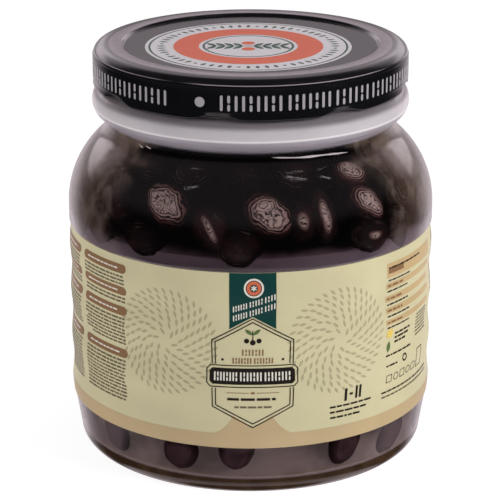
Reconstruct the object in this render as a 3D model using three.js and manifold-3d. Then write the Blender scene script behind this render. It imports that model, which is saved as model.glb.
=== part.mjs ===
// A wide clear jar of black olives, with a shallow black twist-off lid and a label wrapped round its body.
// Millimetres, +Z up. The origin is the middle of the flat ring that the jar stands on.
import * as THREE from "three";
import { mergeVertices } from "three/addons/utils/BufferGeometryUtils.js";
import Module from "manifold-3d";

const wasm = await Module();
wasm.setup();

// Overall sizes
const TOTAL_HEIGHT = 147.8;
const BODY_RADIUS = 65.7;
const NECK_RADIUS = 52;
const MOUTH_RADIUS = 49.4; // inside the mouth
const WALL = 1.6;
const CLEARANCE = 0.3; // between pieces that touch in the real jar
const JAR_SEGMENTS = 44;

// Base of the jar: a flat standing ring round a pushed-up dome, and a tight heel
const STANDING_RADIUS = 57; // outer edge of the flat ring
const STANDING_WIDTH = 7;
const HEEL_RADIUS = 5.8;
const HEEL_END = -0.2; // angle at which the heel runs into the lower body
const FLARE = 0.8; // how far the lower body would lean out over FLARE_HEIGHT if it ran on straight
const FLARE_HEIGHT = 5;
const DOME_HEIGHT = 6.5;
const DOME_EDGE = 6; // from the flat ring in to where the dome levels out
const DOME_DROP = 2; // how much lower it is there than in its middle

// Label, which lies in a shallow panel of the jar and follows its ribs
const LABEL_BOTTOM = 19.4;
const LABEL_TOP = 83.4;
const LABEL_RADIUS = 65.35; // mean, outside
const LABEL_THICKNESS = 0.4;
const PANEL_LEDGE = 0.5; // height of the jar's step over and under the label
const RIB_DEPTH = 0.6;
const RIB_PITCH = 17.2;
const FIRST_RIB = 23.9;
const RIB_STEPS = 11;
const LABEL_INNER = LABEL_RADIUS - RIB_DEPTH / 2 - LABEL_THICKNESS;

// Shoulder and the thick rounded bead under the lid
const SHOULDER_START = 90;
const SHOULDER_ARC = 33; // radius of the shoulder's curve, seen from the side
const SHOULDER_ANGLE = THREE.MathUtils.degToRad(49);
const BEAD_RADIUS = 56.5;
const BEAD_HEIGHT = 128; // of its middle
const BEAD_HALF_HEIGHT = 5.6;
const BEAD_BITE = 0.4; // from the neck's surface in to the centre of the bead's section
const BEAD_SWEEP = 1.4; // how far its section turns up and down from its widest point

// Lid: pressed from sheet, with a sunken round panel, a raised rim and a straight skirt
const LID_RADIUS = 56.05;
const LID_HEIGHT = 14.5;
const LID_SHEET = 0.9;
const LID_GAP = 0.5; // from the jar's mouth up to the sheet
const PANEL_RADIUS = 45;
const PANEL_DEPTH = 1;
const RIM_INNER = 45.6;
const RIM_OUTER = 51;
const RIM_DROP = 2.9; // height of the rim's rounding into the skirt
const SKIRT_STEP = 0.3; // the skirt stands this far out from the rounding
const HEM_HEIGHT = 2.4;
const HEM_THICKNESS = 1.8; // the hem is rolled, so it is thicker than the sheet
const HEM_ROUNDING = 0.5;
const HEM_FADE = 0.8; // height over which it thins out to the sheet
const LID_SEGMENTS = 64;

// Lugs: stretches of the hem that are pressed in and up under an arched crease, and grip the jar's thread
const LUGS = 8;
const LUG_WIDTH = 19;
const LUG_HEIGHT = 3; // of the crease over the foot of the lid
const LUG_DEPTH = 1.1;
const LUG_RISE = 1.1;
const FIRST_LUG = THREE.MathUtils.degToRad(-101.5);

// Olives: rings of them lie against the wall, on a core that fills the jar
const OLIVE_LENGTH = 19;
const OLIVE_WIDTH = 15;
const OLIVE_UNEVENNESS = 0.14; // of its length, width and depth
const OLIVE_ROLL = 2.4; // spread of the angle at which it lies, in radians
const OLIVE_SHIFT = 0.3; // spread of its place along its ring, in spacings
const OLIVE_LIFT = 3; // spread of its height
const OLIVE_SIDES = 6;
const OLIVE_RINGS = 4;
const OLIVE_ROWS = [
  { height: 12.2, count: 17 },
  { height: 85, count: 19 },
  { height: 97.5, count: 19 },
  { height: 109, count: 17 },
  { height: 118.5, count: 14 },
];
const CORE_INSET = 7.5; // from the inside of the wall to the core, where olives show
const HIDDEN_INSET = 1.5; // and behind the label
const CORE_FOOT = 5.5; // height of the core's lowest edge
const CORE_DOME_GAP = 1; // from the jar's dome up to the core and in to its edge
const CORE_BLEND = 4; // height over which one inset turns into the other, each way from the label's edge
const CORE_BENDS = [100, 112]; // heights where its side bends in with the shoulder
const HEAP_TOP = 124;
const HEAP_CROWN = 2; // how much higher the middle of the heap is than its edge
const SEED = 20251;

const point = (radius, height) => new THREE.Vector2(radius, height);

// Points along an ellipse's arc in the (radius, height) plane, with angles from the outward direction.
function arc(centre, radii, from, to, steps) {
  return Array.from({ length: steps + 1 }, (_, i) => {
    const angle = from + ((to - from) * i) / steps;
    return point(
      centre.x + radii.x * Math.cos(angle),
      centre.y + radii.y * Math.sin(angle),
    );
  });
}

// A closed solid of revolution about the Z axis. The profile runs anticlockwise, with the axis on its left.
function revolve(profile, segments) {
  const geometry = new THREE.LatheGeometry(profile, segments);
  geometry.rotateX(Math.PI / 2);
  return geometry;
}

function toSolid(geometry) {
  const bare = geometry.clone();
  bare.deleteAttribute("normal");
  bare.deleteAttribute("uv");
  const merged = mergeVertices(bare, 1e-3);
  return new wasm.Manifold(
    new wasm.Mesh({
      numProp: 3,
      vertProperties: merged.attributes.position.array,
      triVerts: new Uint32Array(merged.index.array),
    }),
  );
}

function toGeometry(solid) {
  const mesh = solid.getMesh();
  const geometry = new THREE.BufferGeometry();
  geometry.setAttribute("position", new THREE.BufferAttribute(mesh.vertProperties, 3));
  geometry.setIndex(new THREE.BufferAttribute(mesh.triVerts, 1));
  return geometry;
}

// The jar's outer and inner sides share these curves, set in from the outside by a wall thickness.
const NECK_BLEND = {};
NECK_BLEND.start = point(
  BODY_RADIUS - SHOULDER_ARC * (1 - Math.cos(SHOULDER_ANGLE)),
  SHOULDER_START + SHOULDER_ARC * Math.sin(SHOULDER_ANGLE),
);
NECK_BLEND.radius = (NECK_BLEND.start.x - NECK_RADIUS) / (1 - Math.cos(SHOULDER_ANGLE));
NECK_BLEND.centre = point(
  NECK_RADIUS + NECK_BLEND.radius,
  NECK_BLEND.start.y + NECK_BLEND.radius * Math.sin(SHOULDER_ANGLE),
);

function shoulder(inset, steps) {
  const radius = SHOULDER_ARC - inset;
  const centre = point(BODY_RADIUS - SHOULDER_ARC, SHOULDER_START);
  return arc(centre, point(radius, radius), 0, SHOULDER_ANGLE, steps);
}

function neckBlend(inset, steps) {
  const radius = NECK_BLEND.radius + inset;
  const from = Math.PI + SHOULDER_ANGLE;
  return arc(NECK_BLEND.centre, point(radius, radius), from, Math.PI, steps);
}

function heel(inset, steps) {
  const radius = HEEL_RADIUS - inset;
  const centre = point(STANDING_RADIUS, HEEL_RADIUS);
  return arc(centre, point(radius, radius), -Math.PI / 2, HEEL_END, steps);
}

// The lower body widens gently from the heel to the ledge under the label.
function lowerBody(inset, steps) {
  const bottom = heel(inset, 1).at(-1);
  const control = point(bottom.x + FLARE, bottom.y + FLARE_HEIGHT);
  const top = point(LABEL_RADIUS - LABEL_THICKNESS - inset, LABEL_BOTTOM - PANEL_LEDGE);
  return new THREE.QuadraticBezierCurve(bottom, control, top).getPoints(steps).slice(1);
}

function jar() {
  const panelRadius = LABEL_INNER - CLEARANCE;
  const standingInner = STANDING_RADIUS - STANDING_WIDTH;
  const domeEdge = standingInner - DOME_EDGE;
  const mouthTop = TOTAL_HEIGHT - LID_SHEET - LID_GAP;
  const beadCentre = point(NECK_RADIUS - BEAD_BITE, BEAD_HEIGHT);
  const beadRadii = point(BEAD_RADIUS - beadCentre.x, BEAD_HALF_HEIGHT);
  const outside = [
    point(0, DOME_HEIGHT),
    point(domeEdge, DOME_HEIGHT - DOME_DROP),
    point(standingInner, 0),
    ...heel(0, 3),
    ...lowerBody(0, 2),
    point(panelRadius, LABEL_BOTTOM - PANEL_LEDGE),
    point(panelRadius, LABEL_TOP + PANEL_LEDGE),
    point(BODY_RADIUS, LABEL_TOP + 2 * PANEL_LEDGE),
    ...shoulder(0, 5),
    ...neckBlend(0, 2).slice(1),
    ...arc(beadCentre, beadRadii, -BEAD_SWEEP, BEAD_SWEEP, 7),
    point(NECK_RADIUS, mouthTop),
  ];
  const inside = [
    point(MOUTH_RADIUS, mouthTop),
    point(MOUTH_RADIUS, BEAD_HEIGHT - BEAD_HALF_HEIGHT),
    ...neckBlend(WALL, 2).reverse(),
    ...shoulder(WALL, 4).reverse().slice(1),
    point(panelRadius - WALL, LABEL_TOP),
    point(panelRadius - WALL, LABEL_BOTTOM),
    ...heel(WALL, 2).reverse(),
    point(standingInner, WALL),
    point(domeEdge, DOME_HEIGHT - DOME_DROP + WALL),
    point(0, DOME_HEIGHT + WALL),
  ];
  return revolve([...outside, ...inside], JAR_SEGMENTS);
}

// The lid before its lugs are pressed in.
function plainLid() {
  const bottom = TOTAL_HEIGHT - LID_HEIGHT;
  const roundingBottom = TOTAL_HEIGHT - RIM_DROP;
  const roundingCentre = point(RIM_OUTER, roundingBottom);
  const outerRadii = point(LID_RADIUS - SKIRT_STEP - RIM_OUTER, RIM_DROP);
  const innerRadii = point(outerRadii.x - LID_SHEET, RIM_DROP - LID_SHEET);
  const panel = TOTAL_HEIGHT - PANEL_DEPTH;
  const hemInner = LID_RADIUS - HEM_THICKNESS;
  const outside = [
    point(hemInner, bottom + HEM_ROUNDING),
    point(hemInner + HEM_ROUNDING, bottom),
    point(LID_RADIUS - HEM_ROUNDING, bottom),
    point(LID_RADIUS, bottom + HEM_ROUNDING),
    point(LID_RADIUS, bottom + HEM_HEIGHT),
    point(LID_RADIUS, roundingBottom - SKIRT_STEP),
    ...arc(roundingCentre, outerRadii, 0, Math.PI / 2, 3),
    point(RIM_INNER, TOTAL_HEIGHT),
    point(PANEL_RADIUS, panel),
    point(0, panel),
  ];
  const inside = [
    point(0, panel - LID_SHEET),
    point(PANEL_RADIUS + LID_SHEET, panel - LID_SHEET),
    point(RIM_INNER + LID_SHEET, TOTAL_HEIGHT - LID_SHEET),
    ...arc(roundingCentre, innerRadii, 0, Math.PI / 2, 2).reverse(),
    point(LID_RADIUS - LID_SHEET, bottom + HEM_HEIGHT + HEM_FADE),
    point(hemInner, bottom + HEM_HEIGHT),
    point(hemInner, bottom + HEM_ROUNDING),
  ];
  return revolve([...outside, ...inside], LID_SEGMENTS);
}

// The crease over a lug: 1 at its middle, 0 at its ends and between lugs.
function lugShape(azimuth) {
  const spacing = (2 * Math.PI) / LUGS;
  const turn = THREE.MathUtils.euclideanModulo(azimuth - FIRST_LUG + spacing / 2, spacing) - spacing / 2;
  const along = (turn * LID_RADIUS) / LUG_WIDTH;
  return Math.abs(along) < 0.5 ? Math.cos(Math.PI * along) : 0;
}

// The lid with its hem pushed in and up at each lug, most at its foot.
function lid() {
  const geometry = plainLid();
  const position = geometry.attributes.position;
  const bottom = TOTAL_HEIGHT - LID_HEIGHT;
  const vertex = new THREE.Vector3();
  for (let i = 0; i < position.count; i++) {
    vertex.fromBufferAttribute(position, i);
    const under = lugShape(Math.atan2(vertex.y, vertex.x)) - (vertex.z - bottom) / LUG_HEIGHT;
    if (under <= 0) continue;
    const radius = Math.hypot(vertex.x, vertex.y);
    const scale = (radius - LUG_DEPTH * under) / radius;
    vertex.set(vertex.x * scale, vertex.y * scale, vertex.z + LUG_RISE * under);
    position.setXYZ(i, vertex.x, vertex.y, vertex.z);
  }
  return geometry;
}

function label() {
  const outside = Array.from({ length: RIB_STEPS + 1 }, (_, i) => {
    const height = LABEL_BOTTOM + ((LABEL_TOP - LABEL_BOTTOM) * i) / RIB_STEPS;
    const wave = Math.cos((2 * Math.PI * (height - FIRST_RIB)) / RIB_PITCH);
    return point(LABEL_RADIUS + (RIB_DEPTH / 2) * wave, height);
  });
  const bottomInner = point(LABEL_INNER, LABEL_BOTTOM);
  const profile = [bottomInner, ...outside, point(LABEL_INNER, LABEL_TOP), bottomInner];
  return revolve(profile, JAR_SEGMENTS);
}

// A repeatable random number generator (mulberry32), so that the heap is the same each time.
function randomFrom(seed) {
  let state = seed;
  return () => {
    state = (state + 0x6d2b79f5) | 0;
    let t = Math.imul(state ^ (state >>> 15), 1 | state);
    t = (t + Math.imul(t ^ (t >>> 7), 61 | t)) ^ t;
    return ((t ^ (t >>> 14)) >>> 0) / 4294967296;
  };
}

// Radius of the jar's inside at a height.
function insideRadius(height) {
  const behindLabel = LABEL_INNER - CLEARANCE - WALL;
  const curve = [
    point(STANDING_RADIUS, WALL),
    ...heel(WALL, 3),
    point(behindLabel, LABEL_BOTTOM),
    point(behindLabel, LABEL_TOP),
    ...shoulder(WALL, 12),
    ...neckBlend(WALL, 6),
    point(MOUTH_RADIUS, BEAD_HEIGHT),
  ];
  const above = curve.findIndex((p) => p.y >= height);
  if (above < 1) return height < curve[0].y ? curve[0].x : MOUTH_RADIUS;
  const [a, b] = [curve[above - 1], curve[above]];
  return THREE.MathUtils.mapLinear(height, a.y, b.y, a.x, b.x);
}

// The middle of the heap, which keeps further off the wall where olives show through it.
function core() {
  const clear = (height) => insideRadius(height) - CORE_INSET;
  const hidden = (height) => insideRadius(height) - HIDDEN_INSET;
  const domeTop = DOME_HEIGHT + WALL;
  const domeEdge = STANDING_RADIUS - STANDING_WIDTH - DOME_EDGE - CORE_DOME_GAP;
  return revolve(
    [
      point(0, domeTop + CORE_DOME_GAP),
      point(domeEdge, domeTop),
      point(clear(HEEL_RADIUS), CORE_FOOT),
      point(clear(LABEL_BOTTOM), LABEL_BOTTOM - CORE_BLEND),
      point(hidden(LABEL_BOTTOM), LABEL_BOTTOM + CORE_BLEND),
      point(hidden(LABEL_TOP), LABEL_TOP - CORE_BLEND),
      point(clear(LABEL_TOP), LABEL_TOP + CORE_BLEND),
      ...CORE_BENDS.map((height) => point(clear(height), height)),
      point(MOUTH_RADIUS - CORE_INSET, HEAP_TOP),
      point(0, HEAP_TOP + HEAP_CROWN),
    ],
    JAR_SEGMENTS,
  );
}

// One olive: an ellipsoid, long along its own X axis, laid against the wall.
function olive(random, azimuth, height) {
  const uneven = () => 1 + OLIVE_UNEVENNESS * (random() - 0.5);
  const length = OLIVE_LENGTH * uneven();
  const width = OLIVE_WIDTH * uneven();
  const depth = OLIVE_WIDTH * uneven();
  const roll = OLIVE_ROLL * (random() - 0.5);
  // The slope of the wall over the olive's own height keeps the whole of it inside.
  const reach = width / 3;
  const room = Math.min(insideRadius(height - reach), insideRadius(height), insideRadius(height + reach));
  const geometry = new THREE.SphereGeometry(0.5, OLIVE_SIDES, OLIVE_RINGS);
  geometry.scale(length, depth, width);
  geometry.rotateY(roll);
  geometry.rotateZ(azimuth + Math.PI / 2);
  const radius = room - CLEARANCE - depth / 2;
  geometry.translate(radius * Math.cos(azimuth), radius * Math.sin(azimuth), height);
  return geometry;
}

// Rings of olives where the wall is clear: one under the label and four over it.
function olives() {
  const random = randomFrom(SEED);
  let heap = toSolid(core());
  OLIVE_ROWS.forEach(({ height, count }, row) => {
    for (let i = 0; i < count; i++) {
      const place = i + OLIVE_SHIFT * (random() - 0.5) + (row % 2) / 2;
      const azimuth = (place * 2 * Math.PI) / count;
      const lift = OLIVE_LIFT * (random() - 0.5);
      heap = heap.add(toSolid(olive(random, azimuth, height + lift)));
    }
  });
  return toGeometry(heap);
}

function piece(name, geometry, material) {
  const mesh = new THREE.Mesh(geometry, material);
  mesh.name = name;
  return mesh;
}

const clearPlastic = new THREE.MeshStandardMaterial({
  color: 0xd9d4d8,
  roughness: 0.08,
  metalness: 0,
  transparent: true,
  opacity: 0.35,
});
const blackLacquer = new THREE.MeshStandardMaterial({ color: 0x0c0d0f, roughness: 0.25, metalness: 0.2 });
const printedFilm = new THREE.MeshStandardMaterial({ color: 0xbbb08a, roughness: 0.5, metalness: 0 });
const oliveSkin = new THREE.MeshStandardMaterial({ color: 0x1d1216, roughness: 0.3, metalness: 0 });

const oliveJar = new THREE.Group();
oliveJar.add(piece("jar", jar(), clearPlastic));
oliveJar.add(piece("lid", lid(), blackLacquer));
oliveJar.add(piece("label", label(), printedFilm));
oliveJar.add(piece("olives", olives(), oliveSkin));

export default oliveJar;
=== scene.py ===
import math
import random
from collections import defaultdict
from dataclasses import dataclass

import bmesh
import bpy
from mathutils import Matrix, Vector, noise


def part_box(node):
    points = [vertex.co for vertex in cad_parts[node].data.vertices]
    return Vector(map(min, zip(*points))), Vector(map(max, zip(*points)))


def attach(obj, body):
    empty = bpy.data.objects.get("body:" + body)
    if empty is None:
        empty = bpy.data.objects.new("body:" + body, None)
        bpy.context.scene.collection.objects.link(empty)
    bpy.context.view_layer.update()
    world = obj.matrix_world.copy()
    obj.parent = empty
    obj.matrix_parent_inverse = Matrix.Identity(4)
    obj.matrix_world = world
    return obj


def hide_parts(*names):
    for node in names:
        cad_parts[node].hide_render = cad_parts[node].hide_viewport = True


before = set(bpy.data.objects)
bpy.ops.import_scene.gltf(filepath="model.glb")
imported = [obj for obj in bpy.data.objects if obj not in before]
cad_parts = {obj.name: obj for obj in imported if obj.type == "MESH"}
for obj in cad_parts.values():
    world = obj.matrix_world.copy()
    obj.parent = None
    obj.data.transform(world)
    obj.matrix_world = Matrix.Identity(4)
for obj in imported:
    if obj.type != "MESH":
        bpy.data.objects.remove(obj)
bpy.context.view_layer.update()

BODY = "root"
MM = 0.001

# Sizes that the frame gives
JAR_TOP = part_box("jar")[1].z / MM
BODY_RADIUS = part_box("jar")[1].x / MM
LID_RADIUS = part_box("lid")[1].x / MM
LID_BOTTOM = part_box("lid")[0].z / MM
TOTAL_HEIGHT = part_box("lid")[1].z / MM
LABEL_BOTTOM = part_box("label")[0].z / MM
LABEL_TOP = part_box("label")[1].z / MM

# Jar
WALL = 1.6
NECK_RADIUS = 52
MOUTH_RADIUS = 49.4
LIP = 0.6
STANDING_RADIUS = 57
STANDING_WIDTH = 7
HEEL_RADIUS = 5.8
HEEL_END = -0.2
FLARE_OUT = 0.8
FLARE_UP = 5
PUSH_UP = 6.5
SHOULDER_START = 90
SHOULDER_ARC = 33
SHOULDER_ANGLE = math.radians(49)
BEAD_RADIUS = 56.5
BEAD_HEIGHT = 128
BEAD_HALF_HEIGHT = 5.6
JAR_SEGMENTS = 192

# Label: a thin film that follows the jar's ribs
LABEL_RADIUS = 65.35
FILM = 0.12
FILM_GAP = 0.13
FILM_LAP = 0.1  # of a radian
RIB_DEPTH = 0.6
RIB_PITCH = 17.2
FIRST_RIB = 23.9
INK_LIFT = 0.02
INK_LAYER = 0.02

# Brine and olives
BRINE_TOP = 121
BRINE_BITE = 0.35
OLIVE_LENGTH = 19
OLIVE_WIDTH = 15.5
LOW_LENGTH = 17.5
LOW_WIDTH = 13.8
SEED = 4107

# Lid
LID_SHEET = 0.9
PANEL_RADIUS = 45
PANEL_DEPTH = 1
RIM_INNER = 45.6
RIM_SHEEN_END = 50.5  # where the painted sheen on the rim's top ends
RIM_OUTER = 51
RIM_DROP = 2.9
SKIRT_STEP = 0.3
HEM_HEIGHT = 2.4
LUGS = 8
LUG_WIDTH = 19
LUG_HEIGHT = 3
LUG_DEPTH = 1.1
LUG_RISE = 1.1
FIRST_LUG = math.radians(-101.5)
LID_SEGMENTS = 256


def arc(centre, radius, start, end, steps, rise=None):
    """Points along a circle's arc, or along an ellipse's whose upright radius is rise."""
    points = []
    for i in range(steps + 1):
        angle = start + (end - start) * i / steps
        points.append((centre[0] + radius * math.cos(angle), centre[1] + (rise or radius) * math.sin(angle)))
    return points


def around(azimuth, radius, height):
    """A point round the jar's axis. Azimuth 0 is the front, and it grows to the right."""
    return (radius * math.sin(azimuth), -radius * math.cos(azimuth), height)


def smooth_step(low, high, value):
    """0 below low, 1 above high and an even curve between them."""
    t = min(max((value - low) / (high - low), 0), 1)
    return t * t * (3 - 2 * t)


def bridge(rings):
    """Faces between closed rings of vertex numbers. A ring that repeats one number is a pole."""
    faces = []
    for low, high in zip(rings, rings[1:]):
        for i in range(len(low)):
            faces.append(list(dict.fromkeys([low[i - 1], low[i], high[i], high[i - 1]])))
    return faces


def revolve(profile, segments):
    """A surface of revolution whose profile runs anticlockwise, with the axis on its left."""
    verts = []
    rings = []
    for radius, height in profile:
        if radius < 1e-6:
            rings.append([len(verts)] * segments)
            verts.append((0, 0, height))
        else:
            rings.append(range(len(verts), len(verts) + segments))
            verts += [around(2 * math.pi * i / segments, radius, height) for i in range(segments)]
    if profile[0][0] > 1e-6:
        rings.append(rings[0])
    return verts, bridge(rings)


def sweep(loops):
    """A closed tube through equal loops, each of which runs up its outer side and down its inner one."""
    size = len(loops[0])
    verts = [point for loop in loops for point in loop]
    rings = [range(k * size, (k + 1) * size) for k in range(len(loops))]
    faces = bridge(rings[::-1])
    first, last = rings[0], rings[-1]
    for k in range(size // 2 - 1):
        faces.append([first[k], first[k + 1], first[-k - 2], first[-k - 1]])
        faces.append([last[-k - 1], last[-k - 2], last[k + 1], last[k]])
    return verts, faces


def join(parts):
    """One mesh from many."""
    verts = []
    faces = []
    for more, cells in parts:
        faces += [[len(verts) + k for k in cell] for cell in cells]
        verts += more
    return verts, faces


def add_piece(name, verts, faces, material, nodes=(), crease=math.radians(40)):
    """A smooth mesh on the jar's body that stands for the given nodes of the frame."""
    mesh = bpy.data.meshes.new(name)
    mesh.from_pydata([Vector(v) * MM for v in verts], [], faces)
    mesh.shade_smooth()
    mesh.set_sharp_from_angle(angle=crease)
    mesh.materials.append(material)
    piece = bpy.data.objects.new(name, mesh)
    bpy.context.scene.collection.objects.link(piece)
    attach(piece, BODY)
    if nodes:
        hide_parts(*nodes)
    return piece


# Shared curves of the jar, set in from its outside by an inset
NECK_START = (
    BODY_RADIUS - SHOULDER_ARC * (1 - math.cos(SHOULDER_ANGLE)),
    SHOULDER_START + SHOULDER_ARC * math.sin(SHOULDER_ANGLE),
)
NECK_BLEND = (NECK_START[0] - NECK_RADIUS) / (1 - math.cos(SHOULDER_ANGLE))
NECK_CENTRE = (NECK_RADIUS + NECK_BLEND, NECK_START[1] + NECK_BLEND * math.sin(SHOULDER_ANGLE))


def label_radius(height):
    """Outside of the label, with the jar's shallow ribs."""
    return LABEL_RADIUS + RIB_DEPTH / 2 * math.cos(2 * math.pi * (height - FIRST_RIB) / RIB_PITCH)


def label_heights(steps):
    """Even steps from the label's foot to its top."""
    return [LABEL_BOTTOM + (LABEL_TOP - LABEL_BOTTOM) * i / steps for i in range(steps + 1)]


def heel(inset, steps):
    return arc((STANDING_RADIUS, HEEL_RADIUS), HEEL_RADIUS - inset, -math.pi / 2, HEEL_END, steps)


def lower_body(inset, steps):
    """From the heel to the foot of the label, a little wider all the way."""
    start = heel(inset, 1)[-1]
    control = (start[0] + FLARE_OUT, start[1] + FLARE_UP)
    end = (LABEL_RADIUS - 0.4 - inset, LABEL_BOTTOM - 0.6)
    points = []
    for i in range(1, steps + 1):
        t = i / steps
        weights = ((1 - t) ** 2, 2 * t * (1 - t), t * t)
        points.append(tuple(sum(w * p[k] for w, p in zip(weights, (start, control, end))) for k in (0, 1)))
    return points


def shoulder(inset, steps):
    return arc((BODY_RADIUS - SHOULDER_ARC, SHOULDER_START), SHOULDER_ARC - inset, 0, SHOULDER_ANGLE, steps)


def neck_blend(inset, steps):
    return arc(NECK_CENTRE, NECK_BLEND + inset, math.pi + SHOULDER_ANGLE, math.pi, steps)


def base(inset):
    """Half of the pushed-up base, from the axis out to the standing ring."""
    points = []
    for i in range(11):
        t = i / 10
        rise = PUSH_UP * (1 - t ** 4) * (1 - 0.15 * t)
        points.append(((STANDING_RADIUS - STANDING_WIDTH) * t, rise + inset))
    return points


def panel(inset, steps):
    """The ribbed band behind the label."""
    return [(label_radius(height) - FILM - FILM_GAP - inset, height) for height in label_heights(steps)]


def inner_profile(inset):
    """From the heel to the neck, set in from the outside of the jar."""
    points = heel(inset, 8) + lower_body(inset, 5)[:-1] + panel(inset, 48)
    return points + shoulder(inset, 20) + neck_blend(inset, 8)[1:]


INSIDE = inner_profile(WALL)


def inside_radius(height):
    """Radius of the jar's inside at a height."""
    if height <= INSIDE[0][1]:
        return INSIDE[0][0]
    for (r0, z0), (r1, z1) in zip(INSIDE, INSIDE[1:]):
        if z0 <= height <= z1 and z1 > z0:
            return r0 + (r1 - r0) * (height - z0) / (z1 - z0)
    return MOUTH_RADIUS


def linear(r, g, b):
    """A colour of 0 to 255 a channel, as shaders want it."""
    values = []
    for channel in (r, g, b):
        c = channel / 255
        values.append(c / 12.92 if c <= 0.04045 else ((c + 0.055) / 1.055) ** 2.4)
    return (*values, 1)


class Graph:
    """A node tree under construction. A socket given as an input is linked, anything else is set."""

    def __init__(self, owner):
        self.owner = owner
        owner.use_nodes = True
        self.tree = owner.node_tree
        self.tree.nodes.clear()

    def feed(self, socket, value):
        if isinstance(value, bpy.types.NodeSocket):
            self.tree.links.new(value, socket)
        else:
            socket.default_value = value

    def add(self, kind, inputs=None, **properties):
        node = self.tree.nodes.new("ShaderNode" + kind)
        for name, value in properties.items():
            setattr(node, name, value)
        for name, value in (inputs or {}).items():
            self.feed(node.inputs[name], value)
        return node

    def math(self, operation, *values):
        return self.add("Math", dict(enumerate(values)), operation=operation).outputs[0]

    def times(self, a, b):
        return self.math("MULTIPLY", a, b)

    def plus(self, a, b):
        return self.math("ADD", a, b)

    def gap(self, a, b):
        """How far two values are apart."""
        return self.math("ABSOLUTE", self.math("SUBTRACT", a, b))

    def sway(self, value, reach):
        """A value of 0 to 1 as a swing to both sides of nothing."""
        return self.times(self.math("SUBTRACT", value, 0.5), reach)

    def ramp(self, value, low, high, to_low=0.0, to_high=1.0):
        inputs = {"Value": value, "From Min": low, "From Max": high, "To Min": to_low, "To Max": to_high}
        return self.add("MapRange", inputs, interpolation_type="SMOOTHSTEP").outputs[0]

    def fade(self, value, low, high):
        """1 below low and 0 above high."""
        return self.ramp(value, low, high, 1.0, 0.0)

    def mix(self, factor, a, b):
        node = self.add("Mix", data_type="RGBA")
        for index, value in ((0, factor), (6, a), (7, b)):
            self.feed(node.inputs[index], value)
        return node.outputs[2]

    def place(self):
        """Where a point lies on its object, in metres."""
        return self.add("TexCoord").outputs["Object"]

    def noise(self, scale, detail=3.0, stretch=None, **inputs):
        """Noise whose scale counts its lumps to a metre."""
        place = self.place()
        if stretch:
            place = self.add("Mapping", {"Vector": place, "Scale": stretch}).outputs[0]
        return self.add("TexNoise", {"Vector": place, "Scale": scale, "Detail": detail, **inputs}).outputs[0]

    def tones(self, scale, detail, dark, light):
        """Two colours, of 0 to 255 a channel, mixed by noise."""
        return self.mix(self.noise(scale, detail), linear(*dark), linear(*light))

    def height(self):
        """Height over the base, in millimetres."""
        return self.times(self.add("SeparateXYZ", {0: self.place()}).outputs["Z"], 1 / MM)

    def radius(self):
        """Distance from the jar's axis, in millimetres."""
        flat = self.add("VectorMath", {0: self.place(), 1: (1, 1, 0)}, operation="MULTIPLY").outputs["Vector"]
        return self.times(self.add("VectorMath", {0: flat}, operation="LENGTH").outputs["Value"], 1 / MM)

    def bump(self, height, distance, strength=1.0):
        inputs = {"Height": height, "Distance": distance * MM, "Strength": strength}
        return self.add("Bump", inputs).outputs[0]

    def surface(self, inputs):
        return self.add("BsdfPrincipled", inputs).outputs[0]

    def blend(self, factor, a, b):
        return self.add("MixShader", {0: factor, 1: a, 2: b}).outputs[0]

    def clear_to_shadows(self, shader):
        """Lets shadow and diffuse rays straight through, so that light reaches what lies behind."""
        path = self.add("LightPath")
        passed = self.math("MAXIMUM", path.outputs["Is Shadow Ray"], path.outputs["Is Diffuse Ray"])
        return self.blend(passed, shader, self.add("BsdfTransparent").outputs[0])

    def finish(self, surface, volume=None):
        """Ends a material's tree and returns the material."""
        output = self.add("OutputMaterial", {"Surface": surface})
        if volume:
            self.feed(output.inputs["Volume"], volume)
        return self.owner


def new_graph(name):
    return Graph(bpy.data.materials.new(name))


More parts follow.
